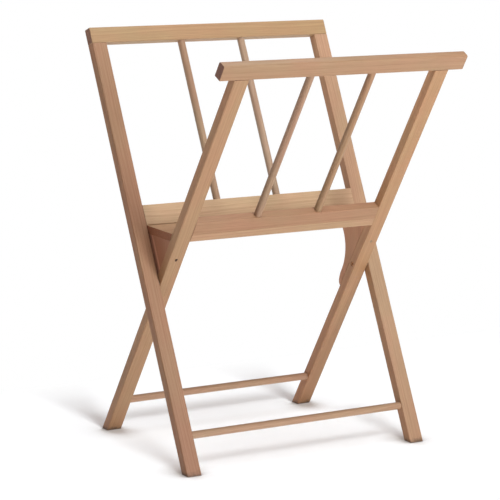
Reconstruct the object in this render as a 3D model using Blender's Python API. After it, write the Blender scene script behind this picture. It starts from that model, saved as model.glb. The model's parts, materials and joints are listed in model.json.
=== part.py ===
"""Folding browser rack for prints and canvases, in beech.

Two flat frames cross like an X and turn on one axis through their stiles.
The back frame is the wider one and carries a board low in its opening.  The
front frame carries a shelf on two curved brackets.  Set up, the bottom of the
board bears on the rear of the shelf; folded, the back frame swings forward
over the shelf until the board meets the rail of the front frame.

Frame: metres, +Z up, +X along the rails, -Y to the front, floor at Z = 0.
"""

import math

import bmesh
import bpy
from mathutils import Matrix, Vector

# ---- driving dimensions ---------------------------------------------------

GAP = 0.0003                     # clearance between neighbouring pieces

LEAN = math.radians(27.0)        # lean of each frame away from the vertical
PIVOT_Z = 0.394                  # height of the hinge axis
OUTER_WIDTH = 0.670              # back frame, outer face to outer face
SIDE_GAP = 0.0015                # between a back stile and a front stile

STILE_W = 0.038                  # stile, across the front face
STOCK_T = 0.022                  # thickness of stiles and rails
HALF_T = STOCK_T / 2
BACK_TOP = 0.612                 # hinge axis to the top of the back frame
FRONT_TOP = 0.6055               # hinge axis to the top of the front frame
RAIL_H = 0.0375                  # height of both top rails
RAIL_OVERHANG = 0.0405           # front top rail beyond the stile on each side

BOARD_TOP = 0.183                # hinge axis to the top edge of the back board
BOARD_LIFT = 0.0010              # front lower arris of the board above the shelf
FRONT_RAIL_TOP = 0.178           # hinge axis to the top edge of the front rail

SHELF_TOP_Z = 0.5185
SHELF_T = 0.018
SHELF_REAR = 0.080               # rear edge of the shelf, behind the hinge axis

DOWEL_D = 0.0175
DOWEL_X = 0.085                  # dowels stand this far either side of the middle
DOWEL_SEAT = 0.012               # depth of a dowel in its rail
RUNG_D = 0.0175
RUNG_DROP = 0.353                # rungs below the hinge axis, along the stile
RUNG_SEAT = 0.015                # depth of a rung in its stile

TENON_T = 0.010
TENON_L = 0.014
TOP_TENON_L = 0.018              # tenon on the top of a stile
TOP_TENON_SIDE = 0.008           # its shoulders, in from the sides of the stile

BRACKET_T = 0.036                # bracket, inner face flush with the stile
BRACKET_REAR = 0.066             # rear end of the bracket top, behind the axis
BRACKET_WAIST = 0.0158           # least depth of the bracket behind the stile
BRACKET_WAIST_S = -0.040         # where the waist is, along the stile
BRACKET_SWEEP_R = 0.105          # radius of the hollow rear edge
BRACKET_TAIL_S = -0.0745         # lower end of the bracket, along the stile

PIVOT_SHANK_D = 0.006
PIVOT_HEAD_D = 0.012
PIVOT_HEAD_T = 0.003
PIVOT_SINK = 0.0012              # head below the inner face of the front stile
PIVOT_REACH = 0.024              # length of the shank inside the back stile
PIVOT_SOCKET_AF = 0.005
PIVOT_SOCKET_DEPTH = 0.0025
WASHER_D = 0.018

SCREW_UPPER = 0.0745             # bracket screws, along the stile from the axis
SCREW_LOWER = -0.0345
SCREW_HEAD_D = 0.0074
SCREW_HEAD_T = 0.0028
SCREW_SHANK_D = 0.0045
SCREW_SINK = 0.0065              # head below the front face of the stile, under a plug
SCREW_TIP = 0.0205               # tip of the screw behind the middle of the stile
SCREW_SLOT_W = 0.0011
SCREW_SLOT_L = 0.0050
SCREW_SLOT_DEPTH = 0.0014

ROUND_OUTER = 0.0025             # rounding of the outer arrises
ROUND_INNER = 0.0012             # rounding of the arrises inside the frames
ROUND_CAP = 0.0050               # rounding along the top of the front top rail
ROUND_CAP_END = 0.0012           # its other arrises
ROUND_BACK_RAIL = 0.0020         # rounding of the back top rail
ROUND_BOARD = 0.0010
ROUND_FOOT = 0.0015
ROUND_END = 0.0008               # eased ends of round pieces

ROUND_SIDES = 40                 # facets of a rung or dowel
BORE_SIDES = 32
CUT_REACH = 0.004                # cutters run this far past a face

BACK_HALF = OUTER_WIDTH / 2
BACK_INNER = BACK_HALF - STILE_W
FRONT_HALF = BACK_INNER - SIDE_GAP
FRONT_INNER = FRONT_HALF - STILE_W

SIN = math.sin(LEAN)
COS = math.cos(LEAN)
# The rails of the two frames reach unequally far; this centres the whole rack.
ROUND_LOSS = SIN + COS - 1       # reach a leaning corner loses per unit of rounding
BACK_REACH = BACK_TOP * SIN - ROUND_BACK_RAIL * ROUND_LOSS
FRONT_REACH = FRONT_TOP * SIN - ROUND_CAP * ROUND_LOSS
PIVOT_Y = (FRONT_REACH - BACK_REACH) / 2

BEECH_RAIL = (0.590, 0.372, 0.215)
BEECH_STILE = (0.520, 0.300, 0.180)
BEECH_BOARD = (0.575, 0.360, 0.225)
BEECH_ROUND = (0.500, 0.285, 0.165)
BRONZE = (0.250, 0.160, 0.090)
ZINC = (0.300, 0.290, 0.270)
WASHER_GREY = (0.550, 0.550, 0.540)


# ---- helpers --------------------------------------------------------------

def clear_scene():
    for item in list(bpy.data.objects):
        bpy.data.objects.remove(item, do_unlink=True)


def material(name, colour, roughness, metallic=0.0):
    mat = bpy.data.materials.new(name)
    mat.use_nodes = True
    shader = mat.node_tree.nodes["Principled BSDF"]
    shader.inputs["Base Color"].default_value = (*colour, 1.0)
    shader.inputs["Roughness"].default_value = roughness
    shader.inputs["Metallic"].default_value = metallic
    mat.diffuse_color = (*colour, 1.0)
    return mat


def empty(name, location):
    holder = bpy.data.objects.new(name, None)
    holder.location = location
    holder.empty_display_size = 0.05
    bpy.context.scene.collection.objects.link(holder)
    return holder


def make_object(name, bm, mat, parent, tilt):
    """Turn a bmesh into an object under one of the frame empties."""
    bmesh.ops.remove_doubles(bm, verts=bm.verts, dist=0.00001)
    bmesh.ops.recalc_face_normals(bm, faces=bm.faces)
    mesh = bpy.data.meshes.new(name)
    bm.to_mesh(mesh)
    bm.free()
    obj = bpy.data.objects.new(name, mesh)
    obj.parent = parent
    obj.rotation_euler = (tilt, 0.0, 0.0)
    obj.data.materials.append(mat)
    bpy.context.scene.collection.objects.link(obj)
    return obj


def cut(obj, cutters):
    """Subtract closed bmeshes, given in the object's own coordinates."""
    helpers = []
    for index, bm in enumerate(cutters):
        helper = make_object(f"cutter_{index}", bm, obj.data.materials[0], obj.parent, 0.0)
        helper.rotation_euler = obj.rotation_euler
        helper.hide_render = True
        helper.display_type = "WIRE"
        step = obj.modifiers.new(f"cut_{index}", "BOOLEAN")
        step.operation = "DIFFERENCE"
        step.solver = "EXACT"
        step.object = helper
        helpers.append(helper)
    bake(obj)
    for helper in helpers:
        bpy.data.objects.remove(helper, do_unlink=True)


def join(obj, additions):
    """Unite closed bmeshes with the object."""
    helpers = []
    for index, bm in enumerate(additions):
        helper = make_object(f"addition_{index}", bm, obj.data.materials[0], obj.parent, 0.0)
        helper.rotation_euler = obj.rotation_euler
        step = obj.modifiers.new(f"join_{index}", "BOOLEAN")
        step.operation = "UNION"
        step.solver = "EXACT"
        step.object = helper
        helpers.append(helper)
    bake(obj)
    for helper in helpers:
        bpy.data.objects.remove(helper, do_unlink=True)


def bake(obj):
    """Replace the mesh with the result of the modifiers."""
    bpy.context.view_layer.update()
    graph = bpy.context.evaluated_depsgraph_get()
    result = bpy.data.meshes.new_from_object(obj.evaluated_get(graph))
    obj.modifiers.clear()
    old = obj.data
    obj.data = result
    result.name = obj.name
    bpy.data.meshes.remove(old)


def shade_round(obj, limit=math.radians(40.0)):
    """Smooth shading with sharp edges kept above the limit angle."""
    for face in obj.data.polygons:
        face.use_smooth = True
    bm = bmesh.new()
    bm.from_mesh(obj.data)
    for edge in bm.edges:
        if len(edge.link_faces) == 2:
            edge.smooth = edge.calc_face_angle() < limit
    bm.to_mesh(obj.data)
    bm.free()


def extrusion(outline, low, high):
    """Prism along X from an outline of (y, z) points."""
    bm = bmesh.new()
    verts = [bm.verts.new((low, y, z)) for y, z in outline]
    face = bm.faces.new(verts)
    grown = bmesh.ops.extrude_face_region(bm, geom=[face])
    moved = [item for item in grown["geom"] if isinstance(item, bmesh.types.BMVert)]
    bmesh.ops.translate(bm, verts=moved, vec=(high - low, 0.0, 0.0))
    bmesh.ops.recalc_face_normals(bm, faces=bm.faces)
    return bm


def box(x_range, y_range, z_range):
    outline = [
        (y_range[0], z_range[0]),
        (y_range[1], z_range[0]),
        (y_range[1], z_range[1]),
        (y_range[0], z_range[1]),
    ]
    return extrusion(outline, x_range[0], x_range[1])


def cylinder(radius, start, end, sides=ROUND_SIDES, ease=0.0):
    """Closed cylinder between two points, its end arrises eased."""
    start = Vector(start)
    end = Vector(end)
    axis = end - start
    bm = bmesh.new()
    bmesh.ops.create_cone(
        bm,
        cap_ends=True,
        segments=sides,
        radius1=radius,
        radius2=radius,
        depth=axis.length,
    )
    if ease:
        rims = [edge for edge in bm.edges if any(len(f.verts) > 4 for f in edge.link_faces)]
        bmesh.ops.bevel(bm, geom=rims, offset=ease, segments=2, profile=0.5, affect="EDGES")
    turn = Vector((0.0, 0.0, 1.0)).rotation_difference(axis.normalized()).to_matrix().to_4x4()
    bmesh.ops.transform(bm, matrix=Matrix.Translation((start + end) / 2) @ turn, verts=bm.verts)
    return bm


def round_edges(bm, chosen, radius, segments=3):
    edges = [edge for edge in bm.edges if chosen(edge)]
    bmesh.ops.bevel(
        bm, geom=edges, offset=radius, segments=segments, profile=0.5, affect="EDGES",
        clamp_overlap=True,
    )


def runs_along(edge, axis):
    step = edge.verts[1].co - edge.verts[0].co
    return abs(step[axis]) > 0.9 * step.length


def middle(edge):
    return (edge.verts[0].co + edge.verts[1].co) / 2


def level_cut(depth, height, tilt_sign):
    """Distance along a leaning frame at which a point `depth` to the front of
    its middle plane is `height` above the hinge axis.  The back frame leans
    back (+1), the front frame leans to the front (-1)."""
    return (height - tilt_sign * depth * SIN) / COS


# ---- stiles ---------------------------------------------------------------

def stile(name, side, inner, top, tilt_sign, parent, mat):
    """A square-edged bar whose foot is cut level with the floor."""
    low_x, high_x = sorted((side * inner, side * (inner + STILE_W)))
    front_foot = level_cut(HALF_T, -PIVOT_Z, tilt_sign)
    rear_foot = level_cut(-HALF_T, -PIVOT_Z, tilt_sign)
    outline = [(-HALF_T, front_foot), (HALF_T, rear_foot), (HALF_T, top), (-HALF_T, top)]
    bm = extrusion(outline, low_x, high_x)
    centre = side * (inner + STILE_W / 2)
    round_edges(
        bm,
        lambda e: runs_along(e, 2) and side * (middle(e).x - centre) > STILE_W / 4,
        ROUND_OUTER,
    )
    round_edges(
        bm,
        lambda e: runs_along(e, 2) and side * (middle(e).x - centre) < -STILE_W / 4,
        ROUND_INNER,
        segments=2,
    )
    foot_band = min(front_foot, rear_foot) + STOCK_T
    round_edges(
        bm,
        lambda e: middle(e).z < foot_band and not runs_along(e, 2),
        ROUND_FOOT,
    )
    return make_object(name, bm, mat, parent, -tilt_sign * LEAN)


def top_tenon(side, inner, shoulder):
    """Tenon on the top of a stile."""
    span = sorted((side * (inner + TOP_TENON_SIDE), side * (inner + STILE_W - TOP_TENON_SIDE)))
    return box(span, (-TENON_T / 2, TENON_T / 2), (shoulder - CUT_REACH, shoulder + TOP_TENON_L))


def top_mortise(side, inner, rail_low):
    """Mortise under a top rail for the tenon of a stile."""
    near = inner + TOP_TENON_SIDE - GAP
    far = inner + STILE_W - TOP_TENON_SIDE + GAP
    return box(
        sorted((side * near, side * far)),
        (-TENON_T / 2 - GAP, TENON_T / 2 + GAP),
        (rail_low - CUT_REACH, rail_low + TOP_TENON_L),
    )


def rung_bore(side, inner):
    return cylinder(
        RUNG_D / 2 + GAP,
        (side * (inner - CUT_REACH), 0.0, -RUNG_DROP),
        (side * (inner + RUNG_SEAT + GAP), 0.0, -RUNG_DROP),
        sides=ROUND_SIDES,
    )


def side_mortise(side, inner, low, high):
    """Mortise in the inner face of a stile for a rail tenon."""
    span = sorted((side * (inner - CUT_REACH), side * (inner + TENON_L + GAP)))
    return box(span, (-TENON_T / 2 - GAP, TENON_T / 2 + GAP), (low - GAP, high + GAP))


def side_tenon(side, shoulder, low, high):
    span = sorted((side * (shoulder - CUT_REACH), side * (shoulder + GAP + TENON_L)))
    return box(span, (-TENON_T / 2, TENON_T / 2), (low, high))


# ---- dimensions shared by joints between pieces ----------------------------

BACK_STILE_TOP = BACK_TOP - RAIL_H - GAP
BOARD_LOW = level_cut(HALF_T, SHELF_TOP_Z + BOARD_LIFT - PIVOT_Z, 1)
BOARD_TENON = (BOARD_LOW + 0.013, BOARD_TOP - 0.006)
FRONT_RAIL_LOW = level_cut(HALF_T, SHELF_TOP_Z + GAP - PIVOT_Z, -1)
FRONT_RAIL_TENON = (FRONT_RAIL_LOW + 0.006, FRONT_RAIL_TOP - 0.008)
FRONT_STILE_TOP = FRONT_TOP - RAIL_H - GAP


def back_frame(parent, woods):
    shoulder = BACK_INNER - GAP
    for label, side in (("left", -1), ("right", 1)):
        post = stile(
            f"back_stile_{label}", side, BACK_INNER, BACK_STILE_TOP, 1, parent,
            woods["back_stile"],
        )
        join(post, [top_tenon(side, BACK_INNER, BACK_STILE_TOP)])
        pilot = cylinder(
            PIVOT_SHANK_D / 2 + GAP,
            (side * (BACK_INNER - CUT_REACH), 0.0, 0.0),
            (side * (BACK_INNER + PIVOT_REACH + GAP), 0.0, 0.0),
            sides=BORE_SIDES,
        )
        cut(post, [
            rung_bore(side, BACK_INNER),
            side_mortise(side, BACK_INNER, *BOARD_TENON),
            pilot,
        ])
        shade_round(post)

    rail_low = BACK_TOP - RAIL_H
    bm = box((-BACK_HALF, BACK_HALF), (-HALF_T, HALF_T), (rail_low, BACK_TOP))
    round_edges(bm, lambda e: True, ROUND_BACK_RAIL)
    rail = make_object("back_top_rail", bm, woods["back_rail"], parent, -LEAN)
    cut(rail, [dowel_bore(side, rail_low, 1) for side in (-1, 1)]
        + [top_mortise(side, BACK_INNER, rail_low) for side in (-1, 1)])
    shade_round(rail)

    # The square-cut lower edge of the board is planed level where it bears on
    # the shelf, so that only its front arris stands clear.
    bearing = SHELF_TOP_Z + GAP - PIVOT_Z
    square_end = (bearing - BOARD_LOW * COS) / SIN
    outline = [
        (-HALF_T, BOARD_LOW),
        (-square_end, BOARD_LOW),
        (HALF_T, level_cut(-HALF_T, bearing, 1)),
        (HALF_T, BOARD_TOP),
        (-HALF_T, BOARD_TOP),
    ]
    bm = extrusion(outline, -shoulder, shoulder)
    round_edges(
        bm,
        lambda e: runs_along(e, 0)
        and (middle(e).z > BOARD_TOP - ROUND_BOARD or middle(e).y < -HALF_T + ROUND_BOARD),
        ROUND_BOARD,
        segments=2,
    )
    board = make_object("back_board", bm, woods["board"], parent, -LEAN)
    join(board, [side_tenon(side, shoulder, *BOARD_TENON) for side in (-1, 1)])
    cut(board, [dowel_bore(side, BOARD_TOP, -1) for side in (-1, 1)])
    shade_round(board)

    dowels("back", BOARD_TOP, rail_low, parent, -LEAN, woods["dowel"])
    rung("back_rung", BACK_INNER, parent, -LEAN, woods["rung"])


def dowel_bore(side, face, direction):
    """Bore for the end of a dowel, into a rail above or below."""
    return cylinder(
        DOWEL_D / 2 + GAP,
        (side * DOWEL_X, 0.0, face - direction * CUT_REACH),
        (side * DOWEL_X, 0.0, face + direction * (DOWEL_SEAT + GAP)),
        sides=ROUND_SIDES,
    )


def dowels(frame_name, low, high, parent, tilt, mat):
    for label, side in (("left", -1), ("right", 1)):
        bm = cylinder(
            DOWEL_D / 2,
            (side * DOWEL_X, 0.0, low - DOWEL_SEAT),
            (side * DOWEL_X, 0.0, high + DOWEL_SEAT),
            ease=ROUND_END,
        )
        piece = make_object(f"{frame_name}_dowel_{label}", bm, mat, parent, tilt)
        shade_round(piece)


def rung(name, inner, parent, tilt, mat):
    reach = inner + RUNG_SEAT
    bm = cylinder(
        RUNG_D / 2,
        (-reach, 0.0, -RUNG_DROP),
        (reach, 0.0, -RUNG_DROP),
        ease=ROUND_END,
    )
    piece = make_object(name, bm, mat, parent, tilt)
    shade_round(piece)


def screw_bore(side, along):
    """Clearance bore and counterbore for a bracket screw."""
    x = side * (FRONT_INNER + STILE_W / 2)
    seat = -HALF_T + SCREW_SINK + SCREW_HEAD_T
    return [
        cylinder(
            SCREW_HEAD_D / 2 + GAP,
            (x, -HALF_T - CUT_REACH, along),
            (x, seat + GAP, along),
            sides=BORE_SIDES,
        ),
        cylinder(
            SCREW_SHANK_D / 2 + GAP,
            (x, seat - SCREW_HEAD_T, along),
            (x, SCREW_TIP + GAP, along),
            sides=BORE_SIDES,
        ),
    ]


def front_frame(parent, woods):
    shoulder = FRONT_INNER - GAP
    for label, side in (("left", -1), ("right", 1)):
        post = stile(
            f"front_stile_{label}", side, FRONT_INNER, FRONT_STILE_TOP, -1, parent,
            woods["front_stile"],
        )
        join(post, [top_tenon(side, FRONT_INNER, FRONT_STILE_TOP)])
        head_seat = FRONT_INNER + PIVOT_SINK + PIVOT_HEAD_T
        cutters = [
            rung_bore(side, FRONT_INNER),
            side_mortise(side, FRONT_INNER, *FRONT_RAIL_TENON),
            cylinder(
                PIVOT_SHANK_D / 2 + GAP,
                (side * (FRONT_INNER - CUT_REACH), 0.0, 0.0),
                (side * (FRONT_HALF + CUT_REACH), 0.0, 0.0),
                sides=BORE_SIDES,
            ),
            cylinder(
                PIVOT_HEAD_D / 2 + GAP,
                (side * (FRONT_INNER - CUT_REACH), 0.0, 0.0),
                (side * (head_seat + GAP), 0.0, 0.0),
                sides=BORE_SIDES,
            ),
        ]
        cutters += screw_bore(side, SCREW_UPPER) + screw_bore(side, SCREW_LOWER)
        cut(post, cutters)
        shade_round(post)

    cap_low = FRONT_TOP - RAIL_H
    reach = FRONT_HALF + RAIL_OVERHANG
    bm = box((-reach, reach), (-HALF_T, HALF_T), (cap_low, FRONT_TOP))
    round_edges(
        bm,
        lambda e: runs_along(e, 0) and middle(e).z > FRONT_TOP - GAP,
        ROUND_CAP,
        segments=5,
    )
    round_edges(
        bm,
        lambda e: abs(middle(e).x) > reach - GAP
        or runs_along(e, 0) and middle(e).z < cap_low + GAP,
        ROUND_CAP_END,
        segments=2,
    )
    cap = make_object("front_top_rail", bm, woods["front_cap"], parent, LEAN)
    cut(cap, [dowel_bore(side, cap_low, 1) for side in (-1, 1)]
        + [top_mortise(side, FRONT_INNER, cap_low) for side in (-1, 1)])
    shade_round(cap)

    # The rail stands on the shelf, its lower edge planed level.
    outline = [
        (-HALF_T, FRONT_RAIL_LOW),
        (HALF_T, level_cut(-HALF_T, SHELF_TOP_Z + GAP - PIVOT_Z, -1)),
        (HALF_T, FRONT_RAIL_TOP),
        (-HALF_T, FRONT_RAIL_TOP),
    ]
    bm = extrusion(outline, -shoulder, shoulder)
    round_edges(
        bm,
        lambda e: runs_along(e, 0) and middle(e).z > FRONT_RAIL_TOP - ROUND_BOARD,
        ROUND_BOARD,
        segments=2,
    )
    rail = make_object("front_rail", bm, woods["front_rail"], parent, LEAN)
    join(rail, [side_tenon(side, shoulder, *FRONT_RAIL_TENON) for side in (-1, 1)])
    cut(rail, [dowel_bore(side, FRONT_RAIL_TOP, -1) for side in (-1, 1)])
    shade_round(rail)

    dowels("front", FRONT_RAIL_TOP, cap_low, parent, LEAN, woods["dowel"])
    rung("front_rung", FRONT_INNER, parent, LEAN, woods["rung"])


def shelf(parent, mat):
    """Level board with its front edge in the front plane of the front frame,
    notched at the front corners round the stiles."""
    top = SHELF_TOP_Z - PIVOT_Z
    bottom = top - SHELF_T
    front_plane = -HALF_T / COS
    outline = [
        (front_plane - bottom * math.tan(LEAN), bottom),
        (SHELF_REAR, bottom),
        (SHELF_REAR, top),
        (front_plane - top * math.tan(LEAN), top),
    ]
    bm = extrusion(outline, -FRONT_HALF, FRONT_HALF)
    round_edges(bm, lambda e: runs_along(e, 0), ROUND_BOARD, segments=2)
    board = make_object("shelf", bm, mat, parent, 0.0)
    notches = []
    for side in (-1, 1):
        span = sorted((side * (FRONT_INNER - GAP), side * (FRONT_HALF + CUT_REACH)))
        notch = box(span, (-2 * STOCK_T, HALF_T + GAP), (0.0, 2 * top))
        turn = Matrix.Rotation(LEAN, 3, "X")
        bmesh.ops.rotate(notch, cent=(0.0, 0.0, 0.0), matrix=turn, verts=notch.verts)
        notches.append(notch)
    cut(board, notches)
    shade_round(board)


def bracket_outline():
    """Side view of a bracket in the plane of the front stile: y is measured to
    the rear of the middle of the stile, z along it from the hinge axis."""
    butt = HALF_T + GAP
    under_shelf = SHELF_TOP_Z - SHELF_T - GAP - PIVOT_Z

    def level(y):
        return (under_shelf - y * SIN) / COS

    def hollow(z):
        rise = math.sqrt(BRACKET_SWEEP_R**2 - (z - BRACKET_WAIST_S)**2)
        return HALF_T + BRACKET_WAIST + BRACKET_SWEEP_R - rise

    # The hollow edge is followed up until it is BRACKET_REAR behind the axis;
    # a short upright edge joins it to the shelf.
    def behind_axis(y, z):
        return y * COS - z * SIN

    top_z = BRACKET_WAIST_S
    while behind_axis(hollow(top_z), top_z) < BRACKET_REAR:
        top_z += 0.0001
    sweep_steps = 18
    nose_steps = 9
    points = [(butt, level(butt))]
    corner_y = (BRACKET_REAR + under_shelf * math.tan(LEAN)) * COS
    points.append((corner_y, level(corner_y)))
    for index in range(sweep_steps + 1):
        z = top_z + (BRACKET_WAIST_S - top_z) * index / sweep_steps
        points.append((hollow(z), z))
    for index in range(1, nose_steps):
        angle = math.pi / 2 * index / nose_steps
        drop = BRACKET_WAIST_S - BRACKET_TAIL_S
        points.append((
            HALF_T + BRACKET_WAIST * math.cos(angle),
            BRACKET_WAIST_S - drop * math.sin(angle),
        ))
    points.append((butt, BRACKET_TAIL_S))
    return points


def is_free_edge(edge):
    """True for bracket edges away from the stile and the shelf."""
    point = middle(edge)
    below_shelf = SHELF_TOP_Z - SHELF_T - PIVOT_Z - (point.y * SIN + point.z * COS)
    return point.y > HALF_T + 2 * GAP and below_shelf > ROUND_BOARD


def brackets(parent, mat):
    for label, side in (("left", -1), ("right", 1)):
        low_x, high_x = sorted((side * FRONT_INNER, side * (FRONT_INNER + BRACKET_T)))
        bm = extrusion(bracket_outline(), low_x, high_x)
        flank = [edge for edge in bm.edges if not runs_along(edge, 0) and is_free_edge(edge)]
        bmesh.ops.bevel(bm, geom=flank, offset=ROUND_BOARD, segments=2, profile=0.5, affect="EDGES")
        piece = make_object(f"bracket_{label}", bm, mat, parent, LEAN)
        x = side * (FRONT_INNER + STILE_W / 2)
        cut(piece, [
            cylinder(
                SCREW_SHANK_D / 2 + GAP,
                (x, HALF_T - CUT_REACH, along),
                (x, SCREW_TIP + GAP, along),
                sides=BORE_SIDES,
            )
            for along in (SCREW_UPPER, SCREW_LOWER)
        ])
        shade_round(piece)


def pivots(parent, mat, washer_mat):
    """Shouldered screws: fixed in the back stiles, free in the front stiles."""
    for label, side in (("left", -1), ("right", 1)):
        face = FRONT_INNER + PIVOT_SINK
        head = cylinder(
            PIVOT_HEAD_D / 2,
            (side * face, 0.0, 0.0),
            (side * (face + PIVOT_HEAD_T), 0.0, 0.0),
            ease=0.0004,
        )
        screw = make_object(f"pivot_screw_{label}", head, mat, parent, -LEAN)
        join(screw, [
            cylinder(
                PIVOT_SHANK_D / 2,
                (side * (face + PIVOT_HEAD_T / 2), 0.0, 0.0),
                (side * (BACK_INNER + PIVOT_REACH), 0.0, 0.0),
                sides=BORE_SIDES,
            ),
        ])
        cut(screw, [
            cylinder(
                PIVOT_SOCKET_AF / math.sqrt(3),
                (side * (face - CUT_REACH), 0.0, 0.0),
                (side * (face + PIVOT_SOCKET_DEPTH), 0.0, 0.0),
                sides=6,
            ),
        ])
        shade_round(screw)

        near = FRONT_HALF + GAP
        far = BACK_INNER - GAP
        disc = cylinder(WASHER_D / 2, (side * near, 0.0, 0.0), (side * far, 0.0, 0.0))
        washer = make_object(f"pivot_washer_{label}", disc, washer_mat, parent, -LEAN)
        cut(washer, [
            cylinder(
                PIVOT_SHANK_D / 2 + GAP,
                (side * (near - CUT_REACH), 0.0, 0.0),
                (side * (far + CUT_REACH), 0.0, 0.0),
                sides=BORE_SIDES,
            ),
        ])
        shade_round(washer)


def bracket_screws(parent, mat):
    for label, side in (("left", -1), ("right", 1)):
        x = side * (FRONT_INNER + STILE_W / 2)
        crown = -HALF_T + SCREW_SINK
        for level_name, along in (("upper", SCREW_UPPER), ("lower", SCREW_LOWER)):
            head = cylinder(
                SCREW_HEAD_D / 2,
                (x, crown, along),
                (x, crown + SCREW_HEAD_T, along),
                ease=0.0004,
            )
            name = f"bracket_screw_{label}_{level_name}"
            screw = make_object(name, head, mat, parent, LEAN)
            join(screw, [
                cylinder(
                    SCREW_SHANK_D / 2,
                    (x, crown + SCREW_HEAD_T / 2, along),
                    (x, SCREW_TIP, along),
                    sides=BORE_SIDES,
                ),
            ])
            slots = []
            for long_axis in (0, 2):
                half = [SCREW_SLOT_W / 2] * 3
                half[long_axis] = SCREW_SLOT_L / 2
                slots.append(box(
                    (x - half[0], x + half[0]),
                    (crown - CUT_REACH, crown + SCREW_SLOT_DEPTH),
                    (along - half[2], along + half[2]),
                ))
            cut(screw, slots)
            shade_round(screw)


def screw_plugs(parent, mat):
    """Wooden plugs over the heads of the bracket screws, flush with the stile."""
    for label, side in (("left", -1), ("right", 1)):
        x = side * (FRONT_INNER + STILE_W / 2)
        for level_name, along in (("upper", SCREW_UPPER), ("lower", SCREW_LOWER)):
            bm = cylinder(
                SCREW_HEAD_D / 2,
                (x, -HALF_T, along),
                (x, -HALF_T + SCREW_SINK - GAP, along),
                sides=BORE_SIDES,
            )
            plug = make_object(f"screw_plug_{label}_{level_name}", bm, mat, parent, LEAN)
            shade_round(plug)


def main():
    clear_scene()
    axis = (0.0, PIVOT_Y, PIVOT_Z)
    back = empty("back_frame_axis", axis)
    front = empty("front_frame_axis", axis)
    woods = {
        "back_stile": material("beech_back_stile", BEECH_STILE, 0.55),
        "front_stile": material("beech_front_stile", BEECH_STILE, 0.55),
        "back_rail": material("beech_back_rail", BEECH_RAIL, 0.55),
        "board": material("beech_back_board", BEECH_BOARD, 0.55),
        "front_cap": material("beech_front_top_rail", BEECH_RAIL, 0.55),
        "front_rail": material("beech_front_rail", BEECH_STILE, 0.55),
        "dowel": material("beech_dowel", BEECH_ROUND, 0.50),
        "rung": material("beech_rung", BEECH_ROUND, 0.50),
    }
    back_frame(back, woods)
    front_frame(front, woods)
    shelf(front, material("beech_shelf", BEECH_BOARD, 0.55))
    brackets(front, material("beech_bracket", BEECH_STILE, 0.60))
    pivots(
        back,
        material("bronzed_steel", BRONZE, 0.40, 0.9),
        material("washer_steel", WASHER_GREY, 0.35, 0.9),
    )
    bracket_screws(front, material("zinc_steel", ZINC, 0.40, 0.9))
    screw_plugs(front, woods["dowel"])


main()
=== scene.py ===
"""Looks of a folding beech browser rack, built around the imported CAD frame.

Every wooden piece is a finer copy of its CAD piece: welded, cut into short
lengths, its arrises worn a little and its shading smoothed.  Each has its own
board of beech, whose grain runs the way the piece was sawn.
"""
import json
import math
import random

import bmesh
import bpy
from mathutils import Euler, Matrix, Vector, noise

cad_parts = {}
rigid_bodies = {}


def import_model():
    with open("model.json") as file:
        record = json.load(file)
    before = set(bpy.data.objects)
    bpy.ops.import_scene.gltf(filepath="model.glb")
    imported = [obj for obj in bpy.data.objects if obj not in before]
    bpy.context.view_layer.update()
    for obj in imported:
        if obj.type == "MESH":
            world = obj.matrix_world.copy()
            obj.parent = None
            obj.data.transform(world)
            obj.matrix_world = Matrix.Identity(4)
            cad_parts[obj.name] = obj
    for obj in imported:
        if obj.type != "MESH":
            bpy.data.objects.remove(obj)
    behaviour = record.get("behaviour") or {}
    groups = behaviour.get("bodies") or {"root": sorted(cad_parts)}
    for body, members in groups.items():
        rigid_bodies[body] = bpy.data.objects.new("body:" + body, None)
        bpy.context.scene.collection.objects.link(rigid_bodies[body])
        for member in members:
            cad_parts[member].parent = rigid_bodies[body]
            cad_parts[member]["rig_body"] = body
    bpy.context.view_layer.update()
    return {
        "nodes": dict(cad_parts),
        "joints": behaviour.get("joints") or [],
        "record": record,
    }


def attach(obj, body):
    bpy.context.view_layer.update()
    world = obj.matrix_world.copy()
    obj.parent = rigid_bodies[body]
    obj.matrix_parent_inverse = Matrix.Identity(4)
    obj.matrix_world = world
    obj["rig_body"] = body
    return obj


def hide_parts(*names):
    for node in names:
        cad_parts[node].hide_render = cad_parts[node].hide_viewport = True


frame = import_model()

random.seed(17)

# ---- camera ---------------------------------------------------------------

CAMERA_AT = (-3.45631, -4.78317, 1.66923)
CAMERA_AZIMUTH = math.radians(-35.5205)
CAMERA_ELEVATION = math.radians(11.7097)
CAMERA_ROLL = math.radians(2.7619)
CAMERA_LENS = 186.72             # mm, on a sensor 36 mm wide
SENSOR_WIDTH = 36.0

# ---- the frames' own axes -------------------------------------------------

HINGE = Vector(frame["joints"][0]["pos_m"])
FOOT = Vector(frame["record"]["mounts"][0]["pos_m"])
LEAN = math.atan2(abs(FOOT.y - HINGE.y), HINGE.z - FOOT.z)


def leaning(angle):
    """Axes at the hinge: X along the rails, Z up the stiles, Y through the stock."""
    return Matrix.Translation(HINGE) @ Matrix.Rotation(angle, 4, "X")


AXES = {"back_frame": leaning(-LEAN), "front_frame": leaning(LEAN)}
UPRIGHT = Matrix.Translation(HINGE)

# ---- pieces ---------------------------------------------------------------

WELD = 0.000002
FLAT_ANGLE = math.radians(0.6)
SMOOTH_ANGLE = math.radians(52.0)
CUT_STEP = 0.014                 # lengths that a piece is cut into
WEAR = 0.00022                   # most that an arris is worn back
WEAR_SCALE = 38.0                # changes of the wear per metre
FLAT_AREA = 0.00012              # a face larger than this is a flat, which isn't worn
FOOT_ROUND = 0.0020              # wear of the arrises round a sole, on top of the CAD's
FOOT_CUTS = 6
FOOT_CUT_CROWDING = 1.6          # over 1, the cuts crowd towards the sole

# ---- beech ----------------------------------------------------------------

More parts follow.
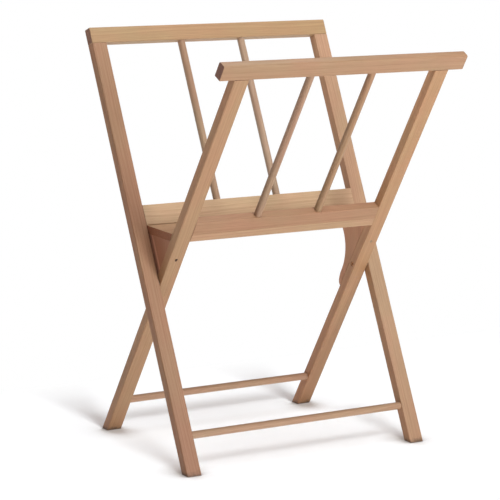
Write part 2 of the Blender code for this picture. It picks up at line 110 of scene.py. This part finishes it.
SHADED_STILE = (0.375, 0.208, 0.125)
STILE = (0.388, 0.226, 0.126)
WARM_STILE = (0.408, 0.232, 0.124)
PALE_STILE = (0.458, 0.288, 0.184)
RAIL = (0.415, 0.262, 0.144)
CAP_RAIL = (0.358, 0.217, 0.126)
PINK_RAIL = (0.365, 0.202, 0.116)
BOARD = (0.560, 0.384, 0.245)
SHELF = (0.426, 0.258, 0.151)
BRACKET = (0.510, 0.250, 0.141)
# painted shade: the left bracket, whose outer face is in the shaded nook
NOOK_SHADE_BRACKET = (0.405, 0.176, 0.102)
DOWEL = (0.400, 0.256, 0.170)
PALE_DOWEL = (0.440, 0.300, 0.215)
FRONT_DOWEL = (0.362, 0.226, 0.148)
RED_DOWEL = (0.352, 0.210, 0.120)
RUNG = (0.450, 0.290, 0.190)
# painted shade: a near-black plug, standing for the shade in an open screw hole
HOLE_SHADE_PLUG = (0.070, 0.030, 0.014)
GREY_PLUG = (0.300, 0.205, 0.130)
END_GRAIN = (0.67, 0.54, 0.64)   # of the face tone
# painted shade: the shelf's ends are darker and redder, for the shade of the nook at its left
# end
NOOK_SHADE_END_GRAIN = (0.72, 0.46, 0.39)
# Painted highlight: a pale line on the brackets' outer faces, in a thin band through the back
# frame's stock.
HIGHLIGHT_LINE_AT = -0.0185               # through the stock of the back frame
HIGHLIGHT_LINE_HALF = 0.0028
HIGHLIGHT_LINE_SOFT = (0.0012, 0.0008)    # how far it fades outwards and inwards
HIGHLIGHT_LINE_COVER = 0.65
HIGHLIGHT_LINE_TONE = (1.8, 2.0, 2.2)        # of the face tone, as are the next ones
# rubbed wear and a painted highlight on the arrises:
WORN_HIGHLIT_TONE = (1.30, 1.32, 1.30)
PALE_RING = (1.05, 1.06, 1.05)
DARK_RING = (0.94, 0.91, 0.88)
RAY_BROWN = (0.62, 0.52, 0.45)
NO_CHANGE = (1.0, 1.0, 1.0)      # side grain and painted side light against the face tone
# painted light and shade on the sides of the stiles, for how the light falls on them:
BACK_SIDE = (1.01, 0.88, 0.75)
FRONT_SIDE = (1.15, 1.05, 0.99)
PALE_SIDE = (1.26, 1.18, 1.18)
LOW_SHADE_TONE = (0.90, 0.85, 0.82, 1.0)   # painted shade: tone of the wood at the floor
LOW_SHADE_BELOW = 0.30
LOW_SHADE_FULLY = -0.04
PINKISH = (1.03, 0.975, 0.98, 1.0)
STRAW = (0.98, 1.025, 1.0, 1.0)
DARK_FIBRE = (0.92, 0.90, 0.88, 1.0)
PALE_FIBRE = (1.07, 1.075, 1.08, 1.0)
WHITE = (1.0, 1.0, 1.0, 1.0)
BLACK = (0.0, 0.0, 0.0, 1.0)
# Painted shade at the soles, standing for the contact shade where the feet meet the floor:
FOOT_SHADE_TONE = (0.055, 0.036, 0.026, 1.0)
FOOT_SHADE_HEIGHT = 0.012              # how far up the feet are painted darker
FOOT_SHADE_RAGGED = 0.006              # its edge wanders this much up and down
FOOT_SHADE_COVER = 0.75

GRAIN_SLOPE = 0.9                # degrees that the grain runs out of line, at most
BOARD_APART = 3.0                # metres between the boards that pieces are cut from
PITH_NEAR = 0.05                 # distance of a piece from its pith
PITH_FAR = 0.11
RING_RATE = 230.0                # changes per metre outwards
RING_SWING = (0.030, 0.030, 0.0)
ARRIS = 0.0022                   # width of an arris that is worn and carries a painted highlight
ARRIS_COVER = 0.45
GRAIN_DEPTH = 0.00012
RAY_COVER = 0.30
ROUND_GRAIN_DEPTH = 0.00003      # round bars are smoother and plainer
ROUND_RAY_COVER = 0.08
FACING_SIDE = (0.60, 0.90)       # how squarely a spot faces aside, from not to fully
FACING_END = (0.72, 0.94)        # and how squarely along the grain

# scales of the noise, in changes per metre.  Z runs along the grain.
WANDER_SCALE = (7.0, 7.0, 1.6)
CLOUD_SCALE = (16.0, 16.0, 6.0)
FIBRE_SCALE = (950.0, 950.0, 16.0)
RAY_SCALE = (720.0, 1500.0, 210.0)
RAY_PATCHES = (60.0, 60.0, 22.0)
PORE_SCALE = (900.0, 900.0, 40.0)
WORN_HIGHLIT_PATCHES = (60.0, 60.0, 30.0)
FOOT_SHADE_SCALE = (90.0, 90.0, 90.0)

# ---- steel ----------------------------------------------------------------

BRONZE = (0.560, 0.290, 0.150)
BRIGHT_ZINC = (0.550, 0.550, 0.540)
DULL_ZINC = (0.200, 0.190, 0.180)
TARNISH_SCALE = (260.0, 260.0, 260.0)
SCRATCH_SCALE = (400.0, 5200.0, 5200.0)   # scratches run along the pins
SCRATCH_DEPTH = 0.00003

# ---- light ----------------------------------------------------------------
# Strengths are the brightness that each light alone gives a white surface
# facing it at the middle of the rack.

MIDDLE = (0.0, 0.0, 0.47)
SKY = 0.04
KEY = 0.70
KEY_RADIUS = 0.8
KEY_AZIMUTH = math.radians(10.0)
KEY_ELEVATION = math.radians(15.0)
KEY_DISTANCE = 3.0
TOP = 0.70
TOP_RADIUS = 1.0
TOP_HEIGHT = 2.0
# The floor's suns are cool and its glow is warm.  Together they are white, and
# where a sun is blocked the shade is a little warm.
FLOOR_SUN_TINT = (0.90, 0.965, 1.00)
FLOOR_TOP_TINT = (0.85, 0.95, 1.00)
FLOOR_GLOW_TINT = (2.75, 1.45, 1.00)
FLOOR_GLOW = 0.06                # light from all over the ceiling, for the floor alone
GLOW_SPREAD = 140.0
FLOOR_WHITE = 0.905
FLOOR_MOTTLE = 0.004             # lighter and darker than that
FLOOR_REACH = 14.0
CONTACT = (0.42, 0.37, 0.34, 1.0)       # floor close to a foot
CONTACT_REACH = 0.075
OPEN_LOW = 0.60                  # openness at which the contact shade is full
FLOOR_SEAM = 0.13                # the suns of the two floors meet along this y
FADE_START = 0.44                # behind this y the shadows fade out
FADE_END = 0.60

# How the floor under each frame's feet is lit.  The back frame's feet stand in
# front.  A shadow runs back by run, and aside by drift times run, for each metre
# of height.  Each pair gives the spread of a sun in degrees and its strength: the
# crisp sun, the soft one, and the one overhead, which has its own run.
FLOOR_PLANS = {
    "back": {"run": 0.76, "drift": 0.24, "crisp": (22.0, 0.38), "soft": (60.0, 0.41),
             "top_run": 0.05, "top": (48.0, 0.27)},
    "front": {"run": 1.57, "drift": 0.125, "crisp": (16.0, 0.54), "soft": (40.0, 0.18),
              "top_run": 0.30, "top": (40.0, 0.34)},
}
CRADLE = ("shelf", "back_board", "front_rail")   # what the overhead suns see in the way


def make_camera():
    data = bpy.data.cameras.new("photo_camera")
    data.lens = CAMERA_LENS
    data.sensor_width = SENSOR_WIDTH
    camera = bpy.data.objects.new("photo_camera", data)
    bpy.context.scene.collection.objects.link(camera)
    a, e, r = CAMERA_AZIMUTH, CAMERA_ELEVATION, CAMERA_ROLL
    back = Vector((math.sin(a) * math.cos(e), -math.cos(a) * math.cos(e), math.sin(e)))
    level = Vector((math.cos(a), math.sin(a), 0.0))
    over = back.cross(level)
    right = math.cos(r) * level + math.sin(r) * over
    up = math.cos(r) * over - math.sin(r) * level
    turn = Matrix((right, up, back)).transposed().to_4x4()
    camera.matrix_world = Matrix.Translation(CAMERA_AT) @ turn
    bpy.context.scene.camera = camera


class Shader:
    """A material's node tree, with a short way to add and wire nodes."""

    def __init__(self, name):
        self.material = bpy.data.materials.new(name)
        self.material.use_nodes = True
        self.tree = self.material.node_tree
        self.surface = self.tree.nodes["Principled BSDF"]

    def add(self, kind, wires=None, **settings):
        node = self.tree.nodes.new("ShaderNode" + kind)
        for key, value in settings.items():
            setattr(node, key, value)
        self.wire(node, wires or {})
        return node

    def wire(self, node, wires):
        for key, value in wires.items():
            if isinstance(value, bpy.types.NodeSocket):
                self.tree.links.new(value, node.inputs[key])
            else:
                node.inputs[key].default_value = value

    def math(self, operation, a, b=0.0, clamp=False):
        node = self.add("Math", {0: a, 1: b}, operation=operation, use_clamp=clamp)
        return node.outputs[0]

    def vector(self, operation, a, b=(0.0, 0.0, 0.0)):
        node = self.add("VectorMath", {0: a, 1: b}, operation=operation)
        return node.outputs["Vector"]

    def noise(self, at, scale, detail=2.0, roughness=0.5):
        """Noise of its own scale along each axis, in cycles per metre."""
        stretched = self.vector("MULTIPLY", at, scale)
        wires = {"Vector": stretched, "Scale": 1.0, "Detail": detail, "Roughness": roughness}
        return self.add("TexNoise", wires).outputs["Fac"]

    def ramp(self, value, low, high, to_low=0.0, to_high=1.0):
        wires = {"Value": value, "From Min": low, "From Max": high,
                 "To Min": to_low, "To Max": to_high}
        return self.add("MapRange", wires, interpolation_type="SMOOTHSTEP").outputs["Result"]

    def mix(self, factor, a, b, blend="MIX"):
        node = self.add("Mix", {0: factor, 6: a, 7: b}, data_type="RGBA", blend_type=blend)
        return node.outputs[2]


def shade(tone, red, green=None, blue=None):
    """A tone made lighter or darker, channel by channel."""
    green = red if green is None else green
    blue = green if blue is None else blue
    return (tone[0] * red, tone[1] * green, tone[2] * blue, 1.0)


def local_place(axes, turn):
    """Location and rotation that take the rest pose to a board's own coordinates."""
    to_board = Euler(turn).to_matrix().to_4x4() @ axes.inverted()
    return {"Location": to_board.to_translation(), "Rotation": to_board.to_euler()}


def dot(s, a, b):
    """Dot product of two vectors."""
    return s.add("VectorMath", {0: a, 1: b}, operation="DOT_PRODUCT").outputs["Value"]


def part_of(s, point, axis):
    """One coordinate of a point."""
    return s.add("SeparateXYZ", {0: point}).outputs[axis]


def growth_rings(s, tone, here, there):
    """Rings about a pith beside the piece, wandering slowly along it."""
    around = random.uniform(0.0, 2.0 * math.pi)
    away = random.uniform(PITH_NEAR, PITH_FAR)
    pith = (away * math.cos(around), away * math.sin(around), 0.0)
    wander = s.add("TexNoise", {"Vector": s.vector("MULTIPLY", there, WANDER_SCALE),
                                "Scale": 1.0, "Detail": 1.5})
    centred = s.vector("SUBTRACT", wander.outputs["Color"], (0.5, 0.5, 0.5))
    swing = s.vector("MULTIPLY", centred, RING_SWING)
    moved = s.vector("ADD", s.vector("ADD", here, swing), pith)
    across = s.vector("MULTIPLY", moved, (1.0, 1.0, 0.0))
    radius = s.add("VectorMath", {0: across}, operation="LENGTH").outputs["Value"]
    rings = s.add("TexNoise", {"W": s.math("MULTIPLY", radius, RING_RATE), "Scale": 1.0,
                               "Detail": 2.5, "Roughness": 0.6}, noise_dimensions="1D")
    ring = s.ramp(rings.outputs["Fac"], 0.36, 0.66)
    return s.mix(ring, shade(tone, *PALE_RING), shade(tone, *DARK_RING))


def slow_change(s, tint, there):
    """From pinkish to straw-coloured and back, along the board."""
    cloud = s.ramp(s.noise(there, CLOUD_SCALE, 2.5, 0.6), 0.33, 0.67)
    return s.mix(1.0, tint, s.mix(cloud, PINKISH, STRAW), "MULTIPLY")


def fine_streaks(s, tint, fibre):
    """The fibres, along the grain."""
    streak = s.ramp(fibre, 0.30, 0.72)
    return s.mix(1.0, tint, s.mix(streak, DARK_FIBRE, PALE_FIBRE), "MULTIPLY")


def ray_flecks(s, there):
    """How much of a spot is ray: short brown flecks, a few millimetres long."""
    cells = s.vector("MULTIPLY", there, RAY_SCALE)
    fleck = s.add("TexVoronoi", {"Vector": cells, "Scale": 1.0, "Randomness": 1.0})
    mark = s.ramp(fleck.outputs["Distance"], 0.34, 0.12)
    return s.math("MULTIPLY", mark, s.ramp(s.noise(there, RAY_PATCHES, 1.0), 0.42, 0.60))


def painted_highlight_line(s, tint, tone, rest, outward):
    """A painted highlight: a pale line on the outer face, running beside a back stile's edge.
    """
    place = {"Vector": rest, **local_place(AXES["back_frame"], (0.0, 0.0, 0.0))}
    through = part_of(s, s.add("Mapping", place).outputs["Vector"], "Y")
    off = s.math("ABSOLUTE", s.math("SUBTRACT", through, HIGHLIGHT_LINE_AT))
    line = s.ramp(off, HIGHLIGHT_LINE_HALF + HIGHLIGHT_LINE_SOFT[0], HIGHLIGHT_LINE_HALF - HIGHLIGHT_LINE_SOFT[1])
    outer = s.ramp(outward, *FACING_SIDE)
    line_highlight = s.math("MULTIPLY", s.math("MULTIPLY", line, outer), HIGHLIGHT_LINE_COVER)
    return s.mix(line_highlight, tint, shade(tone, *HIGHLIGHT_LINE_TONE))


def sawn_end(s, tint, tone, there, end, end_grain):
    """End grain drinks more oil and is darker."""
    pores = s.ramp(s.noise(there, PORE_SCALE, 2.0), 0.35, 0.65)
    sawn = [part * whole for part, whole in zip(end_grain, tone)]
    return s.mix(end, tint, s.mix(pores, shade(sawn, 0.84), shade(sawn, 1.16)))


def worn_highlit_arris(s, there):
    """How much of a spot is on an arris, painted paler as rubbed wear and as a painted
    highlight.
    """
    bevel = s.add("Bevel", {"Radius": ARRIS}, samples=4)
    geometry = s.add("NewGeometry")
    bend = dot(s, bevel.outputs["Normal"], geometry.outputs["Normal"])
    patches = s.ramp(s.noise(there, WORN_HIGHLIT_PATCHES, 2.0), 0.3, 0.6, 0.25, 1.0)
    return s.math("MULTIPLY", s.ramp(bend, 0.995, 0.86), patches)


def painted_foot_shade(s, tint, there, height):
    """Painted shade: the lowest part of each foot is darkened, for the contact shade at the
    sole.
    """
    patches = s.ramp(s.noise(there, FOOT_SHADE_SCALE), 0.0, 1.0, -FOOT_SHADE_RAGGED, FOOT_SHADE_RAGGED)
    foot_darkening = s.ramp(s.math("ADD", height, patches), FOOT_SHADE_HEIGHT, 0.0, 0.0, FOOT_SHADE_COVER)
    return s.mix(foot_darkening, tint, FOOT_SHADE_TONE)


def beech(name, tone, grain, axes, end_grain, side_grain_and_light, highlight_side, turned):
    """Beech whose grain runs along the piece's X or Z axis, each from its own board."""
    s = Shader(name)
    coords = s.add("TexCoord")
    rest, normal = coords.outputs["Object"], coords.outputs["Normal"]
    slope = [math.radians(random.uniform(-GRAIN_SLOPE, GRAIN_SLOPE)) for _ in range(2)]
    turn = (slope[0], slope[1] - math.pi / 2, 0.0) if grain == "X" else (*slope, 0.0)
    board = [random.uniform(-BOARD_APART, BOARD_APART) for _ in range(3)]
    here = s.add("Mapping", {"Vector": rest, **local_place(axes, turn)}).outputs["Vector"]
    there = s.vector("ADD", here, board)
    fibre = s.noise(there, FIBRE_SCALE, 3.0, 0.62)
    mark = ray_flecks(s, there)

    tint = growth_rings(s, tone, here, there)
    tint = slow_change(s, tint, there)
    tint = fine_streaks(s, tint, fibre)
    cover = ROUND_RAY_COVER if turned else RAY_COVER
    tint = s.mix(s.math("MULTIPLY", mark, cover), tint, shade(tone, *RAY_BROWN))

    # the board's edges are cut another way through the rings than its faces, and they are
    # painted lighter or darker and warmer for how the light falls on them
    across = dot(s, normal, (1.0, 0.0, 0.0))
    side = s.ramp(s.math("ABSOLUTE", across), *FACING_SIDE)
    tint = s.mix(1.0, tint, s.mix(side, WHITE, (*side_grain_and_light, 1.0)), "MULTIPLY")

    # painted shade: the wood is a little darker and yellower towards the floor
    height = part_of(s, rest, "Z")
    low = s.ramp(height, LOW_SHADE_BELOW, LOW_SHADE_FULLY)
    tint = s.mix(1.0, tint, s.mix(low, WHITE, LOW_SHADE_TONE), "MULTIPLY")

    # painted highlight: a pale line on the outward face
    if highlight_side:
        tint = painted_highlight_line(s, tint, tone, rest, s.math("MULTIPLY", across, highlight_side))

    lengthwise = Vector((1.0, 0.0, 0.0) if grain == "X" else (0.0, 0.0, 1.0))
    facing = dot(s, normal, axes.to_3x3() @ lengthwise)
    end = s.ramp(s.math("ABSOLUTE", facing), *FACING_END)
    tint = sawn_end(s, tint, tone, there, end, end_grain)

    grip = s.math("ADD", s.ramp(fibre, 0.25, 0.75, 0.50, 0.40), s.math("MULTIPLY", end, 0.16))
    # paler arrises: rubbed wear and a painted highlight
    if not turned:
        worn_highlit = worn_highlit_arris(s, there)
        tint = s.mix(s.math("MULTIPLY", worn_highlit, ARRIS_COVER), tint, shade(tone, *WORN_HIGHLIT_TONE))
        grip = s.math("SUBTRACT", grip, s.math("MULTIPLY", worn_highlit, 0.08))
    # painted shade at the soles
    tint = painted_foot_shade(s, tint, there, height)

    relief = s.math("SUBTRACT", fibre, s.math("MULTIPLY", mark, 0.35))
    depth = ROUND_GRAIN_DEPTH if turned else GRAIN_DEPTH
    bump = s.add("Bump", {"Height": relief, "Strength": 0.35, "Distance": depth})
    s.wire(s.surface, {"Base Color": tint, "Roughness": grip, "Normal": bump.outputs["Normal"],
                       "Specular IOR Level": 0.32})
    return s.material


def metal(name, tone, roughness):
    """Plated steel: turned heads with faint scratches and patches of tarnish."""
    s = Shader(name)
    coords = s.add("TexCoord").outputs["Object"]
    tarnish = s.ramp(s.noise(coords, TARNISH_SCALE, 3.0), 0.35, 0.70)
    scratch = s.noise(coords, SCRATCH_SCALE, 2.0)
    tint = s.mix(tarnish, shade(tone, 0.72), shade(tone, 1.15))
    rough = s.ramp(scratch, 0.3, 0.7, roughness - 0.08, roughness + 0.12)
    bump = s.add("Bump", {"Height": scratch, "Strength": 0.25, "Distance": SCRATCH_DEPTH})
    s.wire(s.surface, {"Base Color": tint, "Roughness": rough, "Normal": bump.outputs["Normal"],
                       "Metallic": 1.0})
    return s.material


def worn(bm):
    """Wear the arrises back by a little that changes along the piece."""
    normals = {v: v.normal.copy() for v in bm.verts}
    for v in bm.verts:
        if any(f.calc_area() > FLAT_AREA for f in v.link_faces):
            continue
        amount = 0.5 + 0.5 * noise.noise(v.co * WEAR_SCALE)
        v.co -= normals[v] * WEAR * amount


def round_foot(bm, axes):
    """Draw in the lowest millimetres of a stile, slice by slice, round its sole.

    A slice's middle moves with the lean of the stile, by shear for its height.
    """
    for i in range(1, FOOT_CUTS + 1):
        height = FOOT_ROUND * (i / FOOT_CUTS) ** FOOT_CUT_CROWDING
        everything = bm.verts[:] + bm.edges[:] + bm.faces[:]
        bmesh.ops.bisect_plane(bm, geom=everything, plane_co=(0.0, 0.0, height),
                               plane_no=(0.0, 0.0, 1.0), dist=WELD)
    sole = [v.co for v in bm.verts if v.co.z < FOOT_ROUND]
    lean = axes.to_3x3() @ Vector((0.0, 0.0, 1.0))
    shear = lean.y / lean.z
    across = sorted(p.x for p in sole)
    through = sorted(p.y - shear * p.z for p in sole)
    middle = ((across[0] + across[-1]) / 2, (through[0] + through[-1]) / 2)
    half = ((across[-1] - across[0]) / 2, (through[-1] - through[0]) / 2)
    for v in bm.verts:
        if v.co.z >= FOOT_ROUND:
            continue
        up = v.co.z - FOOT_ROUND
        inset = FOOT_ROUND - math.sqrt(max(0.0, FOOT_ROUND**2 - up**2))
        centre = middle[1] + shear * v.co.z
        v.co.x = middle[0] + (v.co.x - middle[0]) * (1.0 - inset / half[0])
        v.co.y = centre + (v.co.y - centre) * (1.0 - inset / half[1])


def refined(node, body, axes, material, cut_along):
    """A finer copy of a CAD piece, which stands for it on its body.

    It is cut into lengths along the axes that cut_along names.
    """
    bm = bmesh.new()
    bm.from_mesh(frame["nodes"][node].data)
    bmesh.ops.remove_doubles(bm, verts=bm.verts, dist=WELD)
    bm.transform(axes.inverted())
    bmesh.ops.dissolve_limit(bm, angle_limit=FLAT_ANGLE, verts=bm.verts, edges=bm.edges)
    for axis, letter in enumerate("XYZ"):
        if letter not in cut_along:
            continue
        low = min(v.co[axis] for v in bm.verts)
        high = max(v.co[axis] for v in bm.verts)
        count = max(1, round((high - low) / CUT_STEP))
        normal = Vector((0.0, 0.0, 0.0))
        normal[axis] = 1.0
        for i in range(1, count):
            place = Vector((0.0, 0.0, 0.0))
            place[axis] = low + (high - low) * i / count
            everything = bm.verts[:] + bm.edges[:] + bm.faces[:]
            bmesh.ops.bisect_plane(bm, geom=everything, plane_co=place, plane_no=normal,
                                   dist=WELD)
    bm.normal_update()
    worn(bm)
    bm.transform(axes)
    if "stile" in node:
        round_foot(bm, axes)
    for face in bm.faces:
        face.smooth = True
    mesh = bpy.data.meshes.new(node + "_fine")
    bm.to_mesh(mesh)
    bm.free()
    if "custom_normal" in mesh.attributes:
        mesh.attributes.remove(mesh.attributes["custom_normal"])
    mesh.materials.clear()
    mesh.materials.append(material)
    mesh.set_sharp_from_angle(angle=SMOOTH_ANGLE)
    piece = bpy.data.objects.new(node + "_fine", mesh)
    bpy.context.scene.collection.objects.link(piece)
    weighted = piece.modifiers.new("even_shading", "WEIGHTED_NORMAL")
    weighted.keep_sharp = True
    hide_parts(node)
    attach(piece, body)
    return piece


PIECES = []


def wood(node, slot, tone, grain, axes=None, end_grain=END_GRAIN, side_grain_and_light=NO_CHANGE,
         highlight_side=0.0):
    """A wooden piece.  Its last argument is the x direction that its face with a painted
    highlight line looks in, or 0.
    """
    body = frame["nodes"][node]["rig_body"]
    axes = axes or AXES[body]
    material = beech("beech_" + node, tone, grain, axes, end_grain, side_grain_and_light, highlight_side,
                     slot == "beech_round")
    piece = refined(node, body, axes, material, grain)
    PIECES.append(piece)


def steel(node, tone, roughness):
    body = frame["nodes"][node]["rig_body"]
    piece = refined(node, body, AXES[body], metal("steel_" + node, tone, roughness), "")
    PIECES.append(piece)


def make_pieces():
    """Every piece in its own tone.  The order settles which board each comes from."""
    back_stiles = {"left": SHADED_STILE, "right": PALE_STILE}
    # the second of each pair is the painted light on the stile's sides
    front_stiles = {"left": (STILE, FRONT_SIDE), "right": (WARM_STILE, PALE_SIDE)}
    outward = {"left": -1.0, "right": 1.0}
    back_dowels = {"left": DOWEL, "right": PALE_DOWEL}
    front_dowels = {"left": FRONT_DOWEL, "right": RED_DOWEL}
    # the left bracket's tone carries painted shade
    brackets = {"left": NOOK_SHADE_BRACKET, "right": BRACKET}
    # the left upper plug is painted as a shaded hole
    plugs = {"left_upper": HOLE_SHADE_PLUG, "right_upper": GREY_PLUG}
    for side in ("left", "right"):
        wood("back_stile_" + side, "beech_stile", back_stiles[side], "Z", side_grain_and_light=BACK_SIDE)
        tone, edges = front_stiles[side]
        wood("front_stile_" + side, "beech_stile", tone, "Z", side_grain_and_light=edges)
        wood("back_dowel_" + side, "beech_round", back_dowels[side], "Z")
        wood("front_dowel_" + side, "beech_round", front_dowels[side], "Z")
        # each bracket gets a painted highlight line on its outer face
        wood("bracket_" + side, "beech_board", brackets[side], "Z", UPRIGHT,
             highlight_side=outward[side])
        steel("pivot_screw_" + side, BRONZE, 0.55)
        steel("pivot_washer_" + side, BRIGHT_ZINC, 0.36)
        for place in ("upper", "lower"):
            corner = side + "_" + place
            steel("bracket_screw_" + corner, DULL_ZINC, 0.45)
            wood("screw_plug_" + corner, "beech_round", plugs.get(corner, STILE), "Z")
    wood("back_top_rail", "beech_rail", RAIL, "X")
    wood("front_top_rail", "beech_rail", CAP_RAIL, "X")
    wood("front_rail", "beech_rail", PINK_RAIL, "X")
    wood("back_board", "beech_board", BOARD, "X")
    # the shelf's end grain carries painted shade
    wood("shelf", "beech_board", SHELF, "X", UPRIGHT, NOOK_SHADE_END_GRAIN)
    wood("back_rung", "beech_round", RUNG, "X")
    wood("front_rung", "beech_round", RUNG, "X")


def linked(name, objects):
    """A collection that light linking refers to."""
    group = bpy.data.collections.new(name)
    for item in objects:
        group.objects.link(item)
    return group


def floor_material():
    """White, shaded close to the feet, and turning into plain light at the back."""
    s = Shader("floor_white")
    coords = s.add("TexCoord").outputs["Object"]
    cloud = s.noise(coords, (3.0, 3.0, 3.0), 3.0)
    low, high = FLOOR_WHITE - FLOOR_MOTTLE, FLOOR_WHITE + FLOOR_MOTTLE
    tint = s.mix(cloud, (low, low, low, 1.0), (high, high, high, 1.0))
    depth = part_of(s, coords, "Y")
    span = FADE_END - FADE_START
    fade = s.math("MULTIPLY", s.math("SUBTRACT", depth, FADE_START), 1.0 / span, clamp=True)
    openness = s.add("AmbientOcclusion", {"Distance": CONTACT_REACH}, samples=16).outputs["AO"]
    tint = s.mix(s.ramp(openness, OPEN_LOW, 1.0), CONTACT, tint)
    s.wire(s.surface, {"Base Color": s.mix(fade, tint, BLACK), "Roughness": 0.9,
                       "Specular IOR Level": 0.0, "Emission Color": WHITE,
                       "Emission Strength": fade})
    return s.material


def make_floor(name, low_y, high_y, material):
    bm = bmesh.new()
    corners = [(-FLOOR_REACH, low_y), (FLOOR_REACH, low_y),
               (FLOOR_REACH, high_y), (-FLOOR_REACH, high_y)]
    bm.faces.new([bm.verts.new((x, y, 0.0)) for x, y in corners])
    mesh = bpy.data.meshes.new(name)
    bm.to_mesh(mesh)
    bm.free()
    mesh.materials.append(material)
    floor = bpy.data.objects.new(name, mesh)
    bpy.context.scene.collection.objects.link(floor)
    return floor


def make_light(name, kind, at, target):
    data = bpy.data.lights.new(name, kind)
    lamp = bpy.data.objects.new(name, data)
    bpy.context.scene.collection.objects.link(lamp)
    lamp.location = at
    lamp.rotation_mode = "QUATERNION"
    lamp.rotation_quaternion = (Vector(target) - Vector(at)).to_track_quat("-Z", "Y")
    return lamp


def make_disk(name, at, radius, strength):
    """A round softbox aimed at the middle of the rack."""
    lamp = make_light(name, "AREA", at, MIDDLE)
    distance = (Vector(at) - Vector(MIDDLE)).length
    lamp.data.shape = "DISK"
    lamp.data.size = 2.0 * radius
    lamp.data.energy = strength * math.pi**2 * (radius**2 + distance**2)
    return lamp


def make_lights():
    a, e = KEY_AZIMUTH, KEY_ELEVATION
    toward = Vector((math.sin(a) * math.cos(e), -math.cos(a) * math.cos(e), math.sin(e)))
    key = make_disk("key", Vector(MIDDLE) + KEY_DISTANCE * toward, KEY_RADIUS, KEY)
    top = make_disk("overhead", (0.0, 0.0, TOP_HEIGHT), TOP_RADIUS, TOP)
    for lamp in (key, top):
        lamp.light_linking.receiver_collection = linked(lamp.name + "_lights", PIECES)


def make_floor_sun(name, floors, run, drift, spread, strength, blockers, tint=FLOOR_SUN_TINT):
    """A sun for floors alone, which only the blockers shadow."""
    lamp = make_light(name, "SUN", (0.0, 0.0, 3.0), (drift * run, run, 2.0))
    height = 1.0 / math.sqrt(1.0 + run**2 * (1.0 + drift**2))
    lamp.data.energy = math.pi * strength / height
    lamp.data.color = tint
    lamp.data.angle = math.radians(spread)
    lamp.light_linking.receiver_collection = linked(name + "_lights", floors)
    lamp.light_linking.blocker_collection = linked(name + "_shadows", blockers)


def light_floor():
    """A white floor in two parts, each with the shadows of one frame's legs."""
    white = floor_material()
    floors = {"back": make_floor("front_floor", -FLOOR_REACH, FLOOR_SEAM, white),
              "front": make_floor("rear_floor", FLOOR_SEAM, FLOOR_REACH, white)}
    cradle = [p for p in PIECES if p.name.startswith(CRADLE)]
    for which, plan in FLOOR_PLANS.items():
        floor = [floors[which]]
        rung = [p for p in PIECES if p.name == which + "_rung_fine"]
        legs = [p for p in PIECES if p.name.startswith(which + "_stile")]
        way = (plan["run"], plan["drift"])
        make_floor_sun(which + "_crisp", floor, *way, *plan["crisp"], legs + rung)
        make_floor_sun(which + "_soft", floor, *way, *plan["soft"], rung)
        make_floor_sun(which + "_top", floor, plan["top_run"], 0.0, *plan["top"], cradle,
                       FLOOR_TOP_TINT)
    make_floor_sun("ceiling", floors.values(), 0.0, 0.0, GLOW_SPREAD, FLOOR_GLOW, PIECES,
                   FLOOR_GLOW_TINT)


def make_sky():
    """A faint even light, which the camera sees as white."""
    world = bpy.data.worlds.new("studio")
    bpy.context.scene.world = world
    world.use_nodes = True
    tree = world.node_tree
    tree.nodes.clear()
    light = tree.nodes.new("ShaderNodeBackground")
    light.inputs["Color"].default_value = WHITE
    light.inputs["Strength"].default_value = SKY
    seen = tree.nodes.new("ShaderNodeBackground")
    seen.inputs["Color"].default_value = WHITE
    seen.inputs["Strength"].default_value = 1.0
    path = tree.nodes.new("ShaderNodeLightPath")
    choose = tree.nodes.new("ShaderNodeMixShader")
    out = tree.nodes.new("ShaderNodeOutputWorld")
    tree.links.new(path.outputs["Is Camera Ray"], choose.inputs["Fac"])
    tree.links.new(light.outputs[0], choose.inputs[1])
    tree.links.new(seen.outputs[0], choose.inputs[2])
    tree.links.new(choose.outputs[0], out.inputs["Surface"])


def main():
    make_camera()
    make_pieces()
    make_sky()
    make_lights()
    light_floor()
    scene = bpy.context.scene
    scene.view_settings.view_transform = "Standard"
    scene.view_settings.look = "None"


main()
